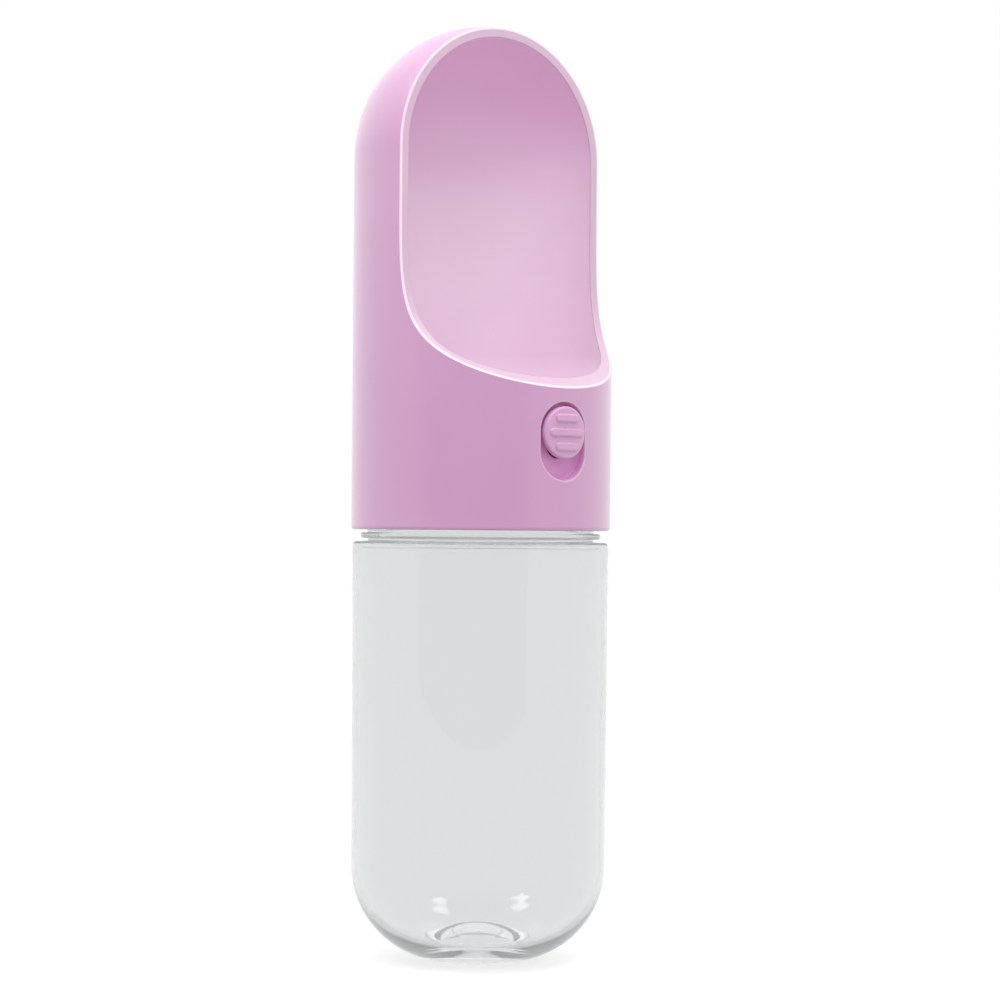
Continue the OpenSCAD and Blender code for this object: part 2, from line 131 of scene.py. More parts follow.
class Shell:
    """A closed mesh put together from patches that share their edge points. Each
    corner carries the true normal of its own surface."""

    def __init__(self):
        self.co, self.key, self.faces, self.normals = [], {}, [], []
        self.tone, self.tones = 0, []

    def point(self, p):
        k = (round(p[0] * 500), round(p[1] * 500), round(p[2] * 500))
        i = self.key.get(k)
        if i is None:
            i = self.key[k] = len(self.co)
            self.co.append((float(p[0]), float(p[1]), float(p[2])))
        return i

    def face(self, pts, nrm):
        ids, nn = [], []
        for p, n in zip(pts, nrm):
            i = self.point(p)
            if i not in ids:
                ids.append(i)
                nn.append((float(n[0]), float(n[1]), float(n[2])))
        if len(ids) < 3:
            return
        p = [self.co[i] for i in ids]
        if len(ids) == 3:
            u = [p[1][k] - p[0][k] for k in range(3)]
            v = [p[2][k] - p[0][k] for k in range(3)]
        else:
            u = [p[2][k] - p[0][k] for k in range(3)]
            v = [p[3][k] - p[1][k] for k in range(3)]
        g = (u[1] * v[2] - u[2] * v[1], u[2] * v[0] - u[0] * v[2], u[0] * v[1] - u[1] * v[0])
        s = [sum(n[k] for n in nn) for k in range(3)]
        if g[0] * s[0] + g[1] * s[1] + g[2] * s[2] < 0:
            ids.reverse()
            nn.reverse()
        self.faces.append(ids)
        self.normals.extend(nn)
        self.tones.append(self.tone)

    def strip(self, rows, normals, closed=True):
        """Quads between consecutive rows of points."""
        for a in range(len(rows) - 1):
            p, q, n, m = rows[a], rows[a + 1], normals[a], normals[a + 1]
            k = len(p)
            for i in range(k if closed else k - 1):
                j = (i + 1) % k
                self.face((p[i], p[j], q[j], q[i]), (n[i], n[j], m[j], m[i]))

    def patch(self, loops, seeds, gap=0.55):
        """Fills the region between closed loops with triangles. A loop or seeds is
        (points, their places in a plane, normals)."""
        P = np.concatenate([l[0] for l in loops])
        if seeds is not None and len(seeds[0]):
            keep = inside(seeds[1], [l[1] for l in loops])
            sp, su, sn = (s[keep] for s in seeds)
            far = np.ones(len(sp), bool)
            for i in range(0, len(sp), 2000):
                d = np.linalg.norm(sp[i:i + 2000, None, :] - P[None, :, :], axis=2).min(1)
                far[i:i + 2000] = d > gap
            seeds = (sp[far], su[far], sn[far])
        parts = list(loops) + ([seeds] if seeds is not None and len(seeds[0]) else [])
        P = np.concatenate([l[0] for l in parts])
        U = np.concatenate([l[1] for l in parts])
        N = np.concatenate([l[2] for l in parts])
        edges, at = [], 0
        for l in loops:
            k = len(l[0])
            edges += [(at + i, at + (i + 1) % k) for i in range(k)]
            at += k
        out = delaunay_2d_cdt([Vector((float(u), float(v))) for u, v in U], edges, [], 0, 1e-9, True)
        first = [o[0] if o else -1 for o in out[3]]
        tris = [[first[i] for i in f] for f in out[2]]
        tris = np.array([t for t in tris if len(t) == 3 and min(t) >= 0], int)
        mid = U[tris].mean(1)
        tris = tris[inside(mid, [l[1] for l in loops])]
        for t in tris:
            self.face(P[t], N[t])

    def check(self, name):
        count = {}
        for f in self.faces:
            for i in range(len(f)):
                e = (f[i], f[(i + 1) % len(f)])
                k = (min(e), max(e))
                count[k] = count.get(k, 0) + 1
        odd = [k for k, c in count.items() if c != 2]
        print(f"{name}: {len(self.co)} points, {len(self.faces)} faces, {len(odd)} edges without two faces")
        for k in odd[:6]:
            print("   ", count[k], [round(v, 3) for v in self.co[k[0]]], [round(v, 3) for v in self.co[k[1]]])

    def piece(self, name):
        self.check(name)
        mesh = bpy.data.meshes.new(name)
        mesh.from_pydata([(x * 0.001, y * 0.001, z * 0.001) for x, y, z in self.co], [], self.faces)
        mesh.polygons.foreach_set("use_smooth", [True] * len(mesh.polygons))
        mesh.polygons.foreach_set("material_index", self.tones)
        mesh.normals_split_custom_set([Vector(n).normalized() for n in self.normals])
        mesh.update()
        ob = bpy.data.objects.new(name, mesh)
        bpy.context.scene.collection.objects.link(ob)
        return ob


def circle(r, z, n, nr=1.0, nz=0.0, turn=0.0):
    """A ring of points about the Z axis from the front (-Y) towards +X, with normals."""
    a = np.arange(n) * 2 * math.pi / n + turn
    s, c = np.sin(a), -np.cos(a)
    k = math.hypot(nr, nz)
    return (np.stack([r * s, r * c, np.full(n, z)], 1),
            np.stack([s * nr / k, c * nr / k, np.full(n, nz / k)], 1))


def revolve(shell, path, n):
    """path: rows of (r, z, nr, nz); None breaks the strip."""
    rows, nrm = [], []
    for q in list(path) + [None]:
        if q is None:
            if len(rows) > 1:
                shell.strip(rows, nrm)
            rows, nrm = [], []
        else:
            p, m = circle(q[0], q[1], n, q[2], q[3])
            rows.append(p)
            nrm.append(m)


def outline(w, h, rc, step=1.0, arc=10):
    """A rounded rectangle about the origin, counter-clockwise, with outward normals."""
    pts, nrm = [], []
    dx, dy = w / 2 - rc, h / 2 - rc
    corners = [(dx, dy, 0), (-dx, dy, 90), (-dx, -dy, 180), (dx, -dy, 270)]
    for i, (cx, cy, a0) in enumerate(corners):
        for k in range(arc + 1):
            a = math.radians(a0 + 90 * k / arc)
            pts.append((cx + rc * math.cos(a), cy + rc * math.sin(a)))
            nrm.append((math.cos(a), math.sin(a)))
        nx_, ny_, _ = corners[(i + 1) % 4]
        a = math.radians(a0 + 90)
        end = np.array([nx_ + rc * math.cos(a), ny_ + rc * math.sin(a)])
        here = np.array(pts[-1])
        m = int(np.linalg.norm(end - here) / step)
        for k in range(1, m):
            q = here + (end - here) * k / m
            pts.append(tuple(q))
            nrm.append((math.cos(a), math.sin(a)))
    keep = [i for i in range(len(pts)) if np.hypot(*(np.array(pts[i]) - np.array(pts[i - 1]))) > 1e-6]
    return np.array([pts[i] for i in keep]), np.array([nrm[i] for i in keep])


def blend_rows(p0, edge, p1, n0, n1, steps=5):
    """Rows over a rounded edge, from the rows p0 to p1 with their edge between."""
    rows, nrm = [], []
    for i in range(steps + 1):
        t = i / steps
        rows.append((1 - t) ** 2 * p0 + 2 * t * (1 - t) * edge + t * t * p1)
        nrm.append(unit((1 - t) * n0 + t * n1))
    return rows, nrm


# ------------------------------------------------------------------ head

def outer_on(p):
    q = p.copy()
    up = np.maximum(p[:, 2] - DZ, 0)
    k = R / np.sqrt(p[:, 0] ** 2 + p[:, 1] ** 2 + up ** 2)
    q[:, 0] *= k
    q[:, 1] *= k
    q[:, 2] = np.where(p[:, 2] > DZ, DZ + up * k, p[:, 2])
    return q


def outer_normal(p):
    return unit(np.stack([p[:, 0], p[:, 1], np.maximum(p[:, 2] - DZ, 0)], 1))


def outer_flat(p):
    r, a = np.hypot(p[:, 0], p[:, 1]), np.arctan2(p[:, 0], -p[:, 1])
    rho = np.where(p[:, 2] > DZ, np.tan(np.arctan2(r, p[:, 2] - DZ) / 2),
                   np.exp(np.clip((DZ - p[:, 2]) / R, 0, 9)))
    return np.stack([rho * np.cos(a), rho * np.sin(a)], 1)


_a = np.linspace(0, math.pi / 2, 2001)
_w = TF / (TX + TF * np.cos(_a))
_t = np.concatenate([[0], np.cumsum((_w[1:] + _w[:-1]) / 2 * (_a[1] - _a[0]))])


def inner_zone(p):
    """0 dome, 1 wall, 2 fillet, 3 floor"""
    r = np.hypot(p[:, 0], p[:, 1])
    return np.where(p[:, 2] > DZ, 0, np.where(p[:, 2] >= TZ, 1, np.where(r > TX, 2, 3)))


def inner_normal(p):
    z, r = inner_zone(p), np.hypot(p[:, 0], p[:, 1])
    n = np.zeros_like(p)
    n[:, 0], n[:, 1] = p[:, 0], p[:, 1]
    n[:, 2] = np.where(z == 0, p[:, 2] - DZ, 0)
    c = z == 2
    k = (r[c] - TX) / np.maximum(r[c], 1e-9)
    n[c, 0] *= k
    n[c, 1] *= k
    n[c, 2] = p[c, 2] - TZ
    n[z == 3] = (0, 0, -1)
    return -unit(n)


def inner_on(p):
    z, r = inner_zone(p), np.hypot(p[:, 0], p[:, 1])
    q = p.copy()
    s = z == 0
    k = RI / np.sqrt(p[s, 0] ** 2 + p[s, 1] ** 2 + (p[s, 2] - DZ) ** 2)
    q[s, 0] *= k
    q[s, 1] *= k
    q[s, 2] = DZ + (p[s, 2] - DZ) * k
    s = z == 1
    q[s, 0] *= RI / r[s]
    q[s, 1] *= RI / r[s]
    s = z == 2
    d = np.hypot(r[s] - TX, p[s, 2] - TZ)
    rr = TX + (r[s] - TX) * TF / d
    q[s, 0] *= rr / r[s]
    q[s, 1] *= rr / r[s]
    q[s, 2] = TZ + (p[s, 2] - TZ) * TF / d
    q[z == 3, 2] = FZ
    return q


def inner_flat(p):
    z, r, a = inner_zone(p), np.hypot(p[:, 0], p[:, 1]), np.arctan2(p[:, 0], -p[:, 1])
    wall = (DZ - TZ) / RI
    ln = np.zeros(len(p))
    s = z == 0
    ln[s] = np.log(np.maximum(np.tan(np.arctan2(r[s], p[s, 2] - DZ) / 2), 1e-6))
    s = z == 1
    ln[s] = (DZ - p[s, 2]) / RI
    s = z == 2
    ln[s] = wall + np.interp(np.arctan2(TZ - p[s, 2], r[s] - TX), _a, _t)
    s = z == 3
    ln[s] = wall + _t[-1] + np.log(TX / np.maximum(r[s], 1e-6))
    rho = np.exp(ln)
    return np.stack([rho * np.cos(a), rho * np.sin(a)], 1)


def with_maps(p, on, flat, normal):
    p = on(p)
    return p, flat(p), normal(p)


# the curve of the opening's edge, as distance in front of the axis and height
_u = np.linspace(0, 1, 6001)[:, None]
_p = np.array(LIP)
_cub = ((1 - _u) ** 3 * _p[0] + 3 * (1 - _u) ** 2 * _u * _p[1] + 3 * (1 - _u) * _u ** 2 * _p[2] + _u ** 3 * _p[3])
_curve = np.concatenate([[(LIP[0][0], RIM_TOP)], _cub, [_cub[-1] + (_cub[-1] - _cub[-2]) * 900]])
_S = np.concatenate([[0], np.cumsum(np.linalg.norm(np.diff(_curve, axis=0), axis=1))])
_T = unit(np.gradient(_curve, axis=0))
_T[0] = (0, -1)
_T[1] = (0, -1)


def curve(s):
    return np.interp(s, _S, _curve[:, 0]), np.interp(s, _S, _curve[:, 1])


def curve_normal(s):
    t = unit(np.stack([np.interp(s, _S, _T[:, 0]), np.interp(s, _S, _T[:, 1])], 1))
    return np.stack([np.zeros(len(t)), t[:, 1], t[:, 0]], 1)      # (0, -nc, nz) with n = (-tz, tc)


def on_rim(xs):
    c, z = curve(xs[:, 1])
    return np.stack([xs[:, 0], -c, z], 1)


def reach(kind, z):
    up = np.maximum(z - DZ, 0)
    if kind == "outer":
        return np.sqrt(np.maximum(R * R - up * up, 0))
    low = TX + np.sqrt(np.maximum(TF * TF - np.maximum(TZ - z, 0) ** 2, 0))
    return np.where(z > DZ, np.sqrt(np.maximum(RI * RI - up * up, 0)), np.where(z >= TZ, RI, low))


def opening_loop(kind, n):
    """The opening's edge on one surface: points in the rim's own plane (x, s), the
    same in space, and its directions there."""
    s = np.linspace(0, _S[-1], 200001)
    c, z = curve(s)
    over = reach(kind, z) - c
    ok = np.nonzero((over > 0) & (z > FZ))[0]
    s0, s1 = s[ok[0]], s[ok[-1]]

    def at(w):
        ss = s0 + (s1 - s0) * (1 - np.cos(np.pi * w)) / 2
        cc, zz = curve(ss)
        x = np.sqrt(np.maximum(reach(kind, zz) ** 2 - cc ** 2, 0)) * np.sign(np.sin(np.pi * w))
        x = np.where(np.abs(np.sin(np.pi * w)) < 1e-7, 0, x)
        return np.stack([x, ss], 1)

    w = np.linspace(0, 1, 8001)
    p = on_rim(at(w))
    length = np.concatenate([[0], np.cumsum(np.linalg.norm(np.diff(p, axis=0), axis=1))])
    wk = np.interp(np.linspace(0, length[-1], n + 1), length, w)
    w = np.concatenate([wk[:-1], 2 - wk[:0:-1]])
    e = 4e-3
    flat = at(w)
    tan2 = unit(at(w + e) - at(w - e))
    tan3 = unit(on_rim(at(w + e)) - on_rim(at(w - e)))
    return flat, on_rim(flat), tan2, tan3


def rim_edge(shell, kind, n, d_face, d_surf):
    flat, edge, tan2, tan3 = opening_loop(kind, n)
    inward = np.stack([-tan2[:, 1], tan2[:, 0]], 1)
    if kind == "outer":
        on, fl, nrm = outer_on, outer_flat, outer_normal
    else:
        inward = -inward
        on, fl, nrm = inner_on, inner_flat, inner_normal
    face_xs = flat + inward * d_face
    face = on_rim(face_xs)
    nf_edge = curve_normal(flat[:, 1])
    nf = curve_normal(face_xs[:, 1])
    b = np.cross(nrm(edge), tan3)
    b *= np.where(np.sum(b * nf_edge, 1) > 0, -1, 1)[:, None]
    surf = on(edge + b * d_surf)
    ns = nrm(surf)
    rows, nn = blend_rows(surf, edge, face, ns, nf, 6)
    shell.strip(rows, nn)
    return (surf, fl(surf), ns), (face, face_xs, nf)


def rings(levels, on, flat, normal, full=180):
    """Seed points on circles about the axis: levels of (radius, height)."""
    out = []
    for i, (r, z) in enumerate(levels):
        n = int(min(full, max(6, round(2 * math.pi * r / 1.17))))
        a = np.arange(n) * 2 * math.pi / n + (i % 2) * math.pi / n
        out.append(np.stack([r * np.sin(a), -r * np.cos(a), np.full(n, z)], 1))
    return with_maps(np.concatenate(out), on, flat, normal)


def sunk_shape(shell, w, h, rc, zc, side, depth_y, edge_r, foot_r, hole=None):
    """A pocket sunk into the head's outside along Y. side is -1 at the front and +1 at
    the back. Returns its loop on the outside, and fills everything but that."""
    o, m = outline(w, h, rc)
    k = len(o)

    def on_outside(q):
        return np.stack([q[:, 0], side * np.sqrt(R * R - q[:, 0] ** 2), q[:, 1] + zc], 1)

    p0 = on_outside(o + m * edge_r)
    edge = on_outside(o)
    p1 = edge.copy()
    p1[:, 1] -= side * edge_r
    wall_n = np.stack([-m[:, 0], np.zeros(k), -m[:, 1]], 1)
    rows, nn = blend_rows(p0, edge, p1, outer_normal(p0), wall_n, 6)
    # the rounded edge in the lighter rim tone: a painted highlight line
    shell.tone = 3
    shell.strip(rows, nn)
    # walls and floor in the glowing recess tone: painted light in their shade
    shell.tone = 2
    foot = np.stack([o[:, 0], np.full(k, depth_y + side * foot_r), o[:, 1] + zc], 1)
    shell.strip([p1, foot], [wall_n, wall_n])
    corner = foot.copy()
    corner[:, 1] = depth_y
    inner = np.stack([o[:, 0] - m[:, 0] * foot_r, np.full(k, depth_y), o[:, 1] - m[:, 1] * foot_r + zc], 1)
    floor_n = np.tile((0.0, float(side), 0.0), (k, 1))
    rows, nn = blend_rows(foot, corner, inner, wall_n, floor_n, 4)
    shell.strip(rows, nn)
    loops = [(inner, inner[:, (0, 2)], floor_n)]
    if hole is not None:
        loops.append((hole, hole[:, (0, 2)], np.tile((0.0, float(side), 0.0), (len(hole), 1))))
    shell.patch(loops, None)
    shell.tone = 0
    return p0, outer_flat(p0), outer_normal(p0)


def make_head():
    sh = Shell()
    # the rim and its two rounded edges: the outer edge in the pale trough tone is a painted highlight line, the face
    # and inner edge in the dimmer rim tone are painted shade
    sh.tone = 1
    out_loop, rim_out = rim_edge(sh, "outer", 150, 0.42, 0.42)
    sh.tone = 3
    in_loop, rim_in = rim_edge(sh, "inner", 140, 0.45, 0.45)
    gx, gs = np.meshgrid(np.arange(-33, 33.1, 1.0), np.arange(0, _S[-1], 1.0))
    xs = np.stack([gx.ravel(), gs.ravel()], 1)
    sh.patch([rim_out, rim_in], (on_rim(xs), xs, curve_normal(xs[:, 1])), 0.5)

    # the stem's slot in the recess's floor
    # the slot's walls in the glowing recess tone: painted light
    sh.tone = 2
    o, m = outline(6.8, 12.0, 3.4, arc=8)
    slot_f = np.stack([o[:, 0], np.full(len(o), -30.2), o[:, 1] + 134.95], 1)
    slot_b = slot_f.copy()
    slot_b[:, 1] = -29.0
    sn = np.stack([-m[:, 0], np.zeros(len(o)), -m[:, 1]], 1)
    sh.strip([slot_f, slot_b], [sn, sn])
    sh.tone = 0

    recess = sunk_shape(sh, 14.3, 19.6, 7.15, SLOT_Z, -1, -30.2, 0.5, 0.6, slot_f)
    pocket = sunk_shape(sh, 10.0, 9.0, 1.2, 137.0, 1, 28.5, 0.5, 0.6)

    # the outside
    n = 180
    foot, foot_n = circle(R, HZ + 1, n)
    levels = [(R * math.sin(math.radians(a)), DZ + R * math.cos(math.radians(a))) for a in np.arange(2, 90, 2)]
    levels += [(R, z) for z in np.arange(DZ, HZ + 1.6, -1.17)]
    sp, su, sn_ = rings(levels, outer_on, outer_flat, outer_normal)
    pole = with_maps(np.array([[0.0, 0.001, DZ + R]]), outer_on, outer_flat, outer_normal)
    seeds = tuple(np.concatenate([a, b]) for a, b in zip((sp, su, sn_), pole))
    sh.patch([(foot, outer_flat(foot), foot_n), out_loop, recess, pocket], seeds)

    # the trough, in the paler trough tone: painted light
    sh.tone = 1
    lip_p, lip_n = circle(2.6, FZ, 48, 0, 1)
    levels = [(RI * math.sin(math.radians(a)), DZ + RI * math.cos(math.radians(a))) for a in np.arange(2.2, 90, 2.2)]
    levels += [(RI, z) for z in np.arange(DZ - 0.4, TZ, -1.17)]
    levels += [(TX + TF * math.cos(math.radians(a)), TZ - TF * math.sin(math.radians(a))) for a in np.arange(0.01, 89, 4.9)]
    levels += [(r, FZ) for r in np.arange(TX - 0.1, 3.2, -1.2)]
    sp, su, sn_ = rings(levels, inner_on, inner_flat, inner_normal)
    pole = with_maps(np.array([[0.0, 0.001, DZ + RI]]), inner_on, inner_flat, inner_normal)
    seeds = tuple(np.concatenate([a, b]) for a, b in zip((sp, su, sn_), pole))
    sh.patch([(lip_p, inner_flat(lip_p + (0, 0, 0)), lip_n), in_loop], seeds)

    # the outlet
    sh.tone = 0
    rows = [(2.6 - 0.4 * math.sin(math.radians(a)), FZ - 0.4 + 0.4 * math.cos(math.radians(a)),
             -math.sin(math.radians(a)), math.cos(math.radians(a))) for a in (0, 22.5, 45, 67.5, 90)]
    revolve(sh, rows + [(2.2, UZ, -1, 0)], 48)

    # lower edge, and the bead inside the skirt
    arc = [(R - 1 + math.cos(math.radians(a)), HZ + 1 - math.sin(math.radians(a)),
            math.cos(math.radians(a)), -math.sin(math.radians(a))) for a in range(0, 91, 15)]
    revolve(sh, arc + [(SK + 0.4, HZ, 0, -1), None,
                       (SK + 0.4, HZ, -1, -1), (SK, HZ + 0.4, -1, -1), None,
                       (SK, HZ + 0.4, -1, 0), (SK, 114.7, -1, 0), None,
                       (SK, 114.7, 0, -1), (SK - 0.4, 114.7, 0, -1), None,
                       (SK - 0.4, 114.7, -1, 0), (SK - 0.4, 115.3, -1, 0), None,
                       (SK - 0.4, 115.3, 0, 1), (SK, 115.3, 0, 1)], n)

    # inside of the skirt, with the block behind the recess and the one behind the pocket
    def half_block(w, z0, rc):
        pts, nr = [], []
        dx = w / 2 - rc
        for i in range(int(dx)):
            pts.append((dx * i / int(dx), z0))
            nr.append((0, -1))
        for i in range(9):
            a = math.radians(-90 + 90 * i / 8)
            pts.append((dx + rc * math.cos(a), z0 + rc + rc * math.sin(a)))
            nr.append((math.cos(a), math.sin(a)))
        m_ = int((UZ - z0 - rc) / 1.2)
        for i in range(1, m_ + 1):
            pts.append((w / 2, z0 + rc + (UZ - z0 - rc) * i / m_))
            nr.append((1, 0))
        return np.array(pts, float), np.array(nr, float)

    fb, fn = half_block(16.5, 122.36, 8.2)
    bb, bn = half_block(16.4, 131.3, 1.0)

    def full(p, q):
        """both halves, from the left top over the middle of the bottom to the right top"""
        left = p[:0:-1] * (-1, 1)
        lq = q[:0:-1] * (-1, 1)
        return np.concatenate([left, p]), np.concatenate([lq, q])

    f2, fn2 = full(fb, fn)
    b2, bn2 = full(bb, bn)

    def wall(q, side):
        return np.stack([q[:, 0], side * np.sqrt(SK * SK - q[:, 0] ** 2), q[:, 1]], 1)

    def plane(q, y):
        return np.stack([q[:, 0], np.full(len(q), y), q[:, 1]], 1)

    f_wall, f_face = wall(f2, -1), plane(f2, -29.0)
    b_wall, b_face = wall(b2, 1), plane(b2, 27.3)
    f_side = np.stack([fn2[:, 0], np.zeros(len(fn2)), fn2[:, 1]], 1)
    b_side = np.stack([bn2[:, 0], np.zeros(len(bn2)), bn2[:, 1]], 1)
    sh.strip([f_wall, f_face], [f_side, f_side], closed=False)
    sh.strip([b_wall, b_face], [b_side, b_side], closed=False)
    a0 = math.asin(8.25 / SK)
    a1 = math.pi - math.asin(8.2 / SK)
    ang = np.linspace(a0, a1, 76)[1:-1]
    right = np.stack([SK * np.sin(ang), -SK * np.cos(ang), np.full(len(ang), UZ)], 1)
    left = right[::-1] * (-1, 1, 1)
    top = np.concatenate([f_wall, right, b_wall[::-1], left])

    def skirt_flat(p):
        a = np.arctan2(p[:, 0], -p[:, 1])
        rho = np.exp((UZ - p[:, 2]) / SK)
        return np.stack([rho * np.cos(a), rho * np.sin(a)], 1)

    def skirt_normal(p):
        return -unit(np.stack([p[:, 0], p[:, 1], np.zeros(len(p))], 1))

    low, low_n = circle(SK, 115.3, n, -1, 0)
    zz = np.arange(117.0, UZ, 2.3)
    sp = np.concatenate([circle(SK, z, 90, turn=0.01)[0] for z in zz])
    sh.patch([(low, skirt_flat(low), low_n), (top, skirt_flat(top), skirt_normal(top))],
             (sp, skirt_flat(sp), skirt_normal(sp)), 1.0)
    up = lambda v, k: np.tile(v, (k, 1)).astype(float)
    sh.patch([(f_face, f_face[:, (0, 2)], up((0, 1, 0), len(f_face))),
              (slot_b, slot_b[:, (0, 2)], up((0, 1, 0), len(slot_b)))], None)
    sh.patch([(b_face, b_face[:, (0, 2)], up((0, -1, 0), len(b_face)))], None)
    hole, _ = circle(2.2, UZ, 48)
    under = np.concatenate([right, b_wall[-1:], b_face[-1:], b_face[:1], b_wall[:1], left,
                            f_wall[:1], f_face[:1], f_face[-1:], f_wall[-1:]])
    sh.patch([(under, under[:, :2], up((0, 0, -1), len(under))), (hole, hole[:, :2], up((0, 0, -1), 48))], None)
    return sh.piece("head_hood")


head = make_head()
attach(head, "head")
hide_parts("head_shell")


# ------------------------------------------------------------------ button

def make_button():
    sh = Shell()
    FR, top_r, br, edge = 34.2, 34.75, 6.55, 0.75
    zc = BTN_Z

    def face(q, r=FR):
        return np.stack([q[:, 0], -np.sqrt(r * r - q[:, 0] ** 2), q[:, 1] + zc], 1)

    def face_n(p):
        return unit(np.stack([p[:, 0], p[:, 1], np.zeros(len(p))], 1))

    o, m = outline(2 * br, 2 * br, br, arc=24)
    k = len(o)
    p0 = face(o - m * edge)
    e = face(o)
    p1 = e.copy()
    p1[:, 1] += edge * 0.85
    side = np.stack([m[:, 0], np.zeros(k), m[:, 1]], 1)
    rows, nn = blend_rows(p0, e, p1, face_n(p0), side, 7)
    sh.strip(rows, nn)
    back = np.stack([o[:, 0], np.full(k, -32.4), o[:, 1] + zc], 1)
    sh.strip([p1, back], [side, side])
    loops = [(p0, p0[:, (0, 2)], face_n(p0))]
    for zb, w in ((-3.58, 7.2), (0.0, 10.6), (3.58, 7.2)):
        bo, bm = outline(w, 2.0, 1.0, step=0.8, arc=6)
        bo = bo + (0, zb)
        foot_r, top_f = 0.18, 0.5
        q0 = face(bo + bm * foot_r)
        q1 = face(bo)
        q2 = q1.copy()
        q2[:, 1] -= foot_r * 0.7
        bs = np.stack([bm[:, 0], np.zeros(len(bo)), bm[:, 1]], 1)
        rows, nn = blend_rows(q0, q1, q2, face_n(q0), bs, 3)
        sh.strip(rows, nn)
        q3 = face(bo, top_r)
        q4 = face(bo - bm * top_f, top_r)
        rows, nn = blend_rows(q2, q3, q4, bs, face_n(q4), 6)
        sh.strip(rows, nn)
        sh.patch([(q4, q4[:, (0, 2)], face_n(q4))], None)
        loops.append((q0, q0[:, (0, 2)], face_n(q0)))
    g = np.stack([v.ravel() for v in np.meshgrid(np.arange(-6.02, 6.1, 0.61), np.arange(-6.05, 6.1, 0.61))], 1)
    gp = face(g)
    sh.patch(loops, (gp, gp[:, (0, 2)], face_n(gp)), 0.3)

    # the stem, with the clip's groove
    a = np.linspace(0, 2 * math.pi, 41)[:-1]
    dd = np.stack([np.clip(1.9 * np.sin(a), -1.5, 1.5), 1.9 * np.cos(a)], 1)
    near = np.stack([1.3 * np.sin(a), 1.3 * np.cos(a)], 1)
    tip = dd * 0.86

    def ring_at(q, y):
        return np.stack([q[:, 0], np.full(len(q), y), q[:, 1] + ROD_Z], 1)

    flats = np.abs(1.9 * np.sin(a)) > 1.5
    sn = np.stack([np.where(flats, np.sign(np.sin(a)), np.sin(a)), np.zeros(len(a)), np.where(flats, 0, np.cos(a))], 1)
    gn = np.stack([np.sin(a), np.zeros(len(a)), np.cos(a)], 1)
    fwd, rear = np.tile((0.0, -1.0, 0.0), (len(a), 1)), np.tile((0.0, 1.0, 0.0), (len(a), 1))
    stem = ring_at(dd, -32.4)
    sh.patch([(back, back[:, (0, 2)], np.tile((0.0, 1.0, 0.0), (k, 1))),
              (stem, stem[:, (0, 2)], rear)], None)
    sh.strip([stem, ring_at(dd, -26.6)], [sn, sn])
    sh.strip([ring_at(dd, -26.6), ring_at(near, -26.6)], [rear, rear])
    sh.strip([ring_at(near, -26.6), ring_at(near, -26.0)], [gn, gn])
    sh.strip([ring_at(near, -26.0), ring_at(dd, -26.0)], [fwd, fwd])
    sh.strip([ring_at(dd, -26.0), ring_at(dd, -25.5)], [sn, sn])
    sh.strip([ring_at(dd, -25.5), ring_at(tip, -25.2)], [unit(sn + rear), unit(sn + rear)])
    end = ring_at(tip, -25.2)
    sh.patch([(end, end[:, (0, 2)], rear)], None)
    return sh.piece("thumb_button")


button = make_button()
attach(button, "button")
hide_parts("button_cap")


# ------------------------------------------------------------------ bottle

def filleted(path, step=10.0):
    """A profile (r, z[, fillet]) with its corners rounded into short straight steps."""
    pts = [np.array(p[:2], float) for p in path]
    out = []
    for i, p in enumerate(pts):
        f = path[i][2] if len(path[i]) > 2 else 0.0
        if f <= 0 or i in (0, len(pts) - 1):
            out.append(p)
            continue
        a, b = unit(pts[i - 1] - p), unit(pts[i + 1] - p)
        half = math.acos(max(-1.0, min(1.0, float(a @ b)))) / 2
        t = f / math.tan(half)
        c = p + unit(a + b) * (f / math.sin(half))
        p0, p1 = p + a * t, p + b * t
        a0 = math.atan2(p0[1] - c[1], p0[0] - c[0])
        a1 = math.atan2(p1[1] - c[1], p1[0] - c[0])
        d = (a1 - a0 + math.pi) % (2 * math.pi) - math.pi
        m = max(2, int(abs(math.degrees(d)) / step) + 1)
        out += [c + f * np.array([math.cos(a0 + d * j / m), math.sin(a0 + d * j / m)]) for j in range(m + 1)]
    return [q for i, q in enumerate(out) if i == 0 or np.linalg.norm(q - out[i - 1]) > 2e-3]


def profile_rows(pts, crease=34.0):
    """Rows (r, z, nr, nz) along a profile whose outside is on its right-hand side."""
    seg = [unit(pts[i + 1] - pts[i]) for i in range(len(pts) - 1)]
    nrm = [np.array([s[1], -s[0]]) for s in seg]
    rows = [(pts[0][0], pts[0][1], *nrm[0])]
    for i in range(1, len(pts) - 1):
        a, b = nrm[i - 1], nrm[i]
        if float(a @ b) < math.cos(math.radians(crease)):
            rows += [(pts[i][0], pts[i][1], *a), None, (pts[i][0], pts[i][1], *b)]
        else:
            la = np.linalg.norm(pts[i] - pts[i - 1])
            lb = np.linalg.norm(pts[i + 1] - pts[i])
            m = unit(a / max(la, 0.05) + b / max(lb, 0.05))
            rows.append((pts[i][0], pts[i][1], *m))
    rows.append((pts[-1][0], pts[-1][1], *nrm[-1]))
    return rows


def arc(cx, cz, r, a0, a1, n):
    t = np.radians(np.linspace(a0, a1, n + 1))
    return [(cx + r * c, cz + r * s) for c, s in zip(np.cos(t), np.sin(t))]


def double(shell, few, many, nf, nm):
    """Joins a ring to one with twice as many points."""
    k = len(few)
    for i in range(k):
        j, m = (i + 1) % k, (2 * i + 2) % (2 * k)
        shell.face((few[i], many[2 * i], many[2 * i + 1]), (nf[i], nm[2 * i], nm[2 * i + 1]))
        shell.face((few[i], many[2 * i + 1], few[j]), (nf[i], nm[2 * i + 1], nf[j]))
        shell.face((few[j], many[2 * i + 1], many[m]), (nf[j], nm[2 * i + 1], nm[m]))


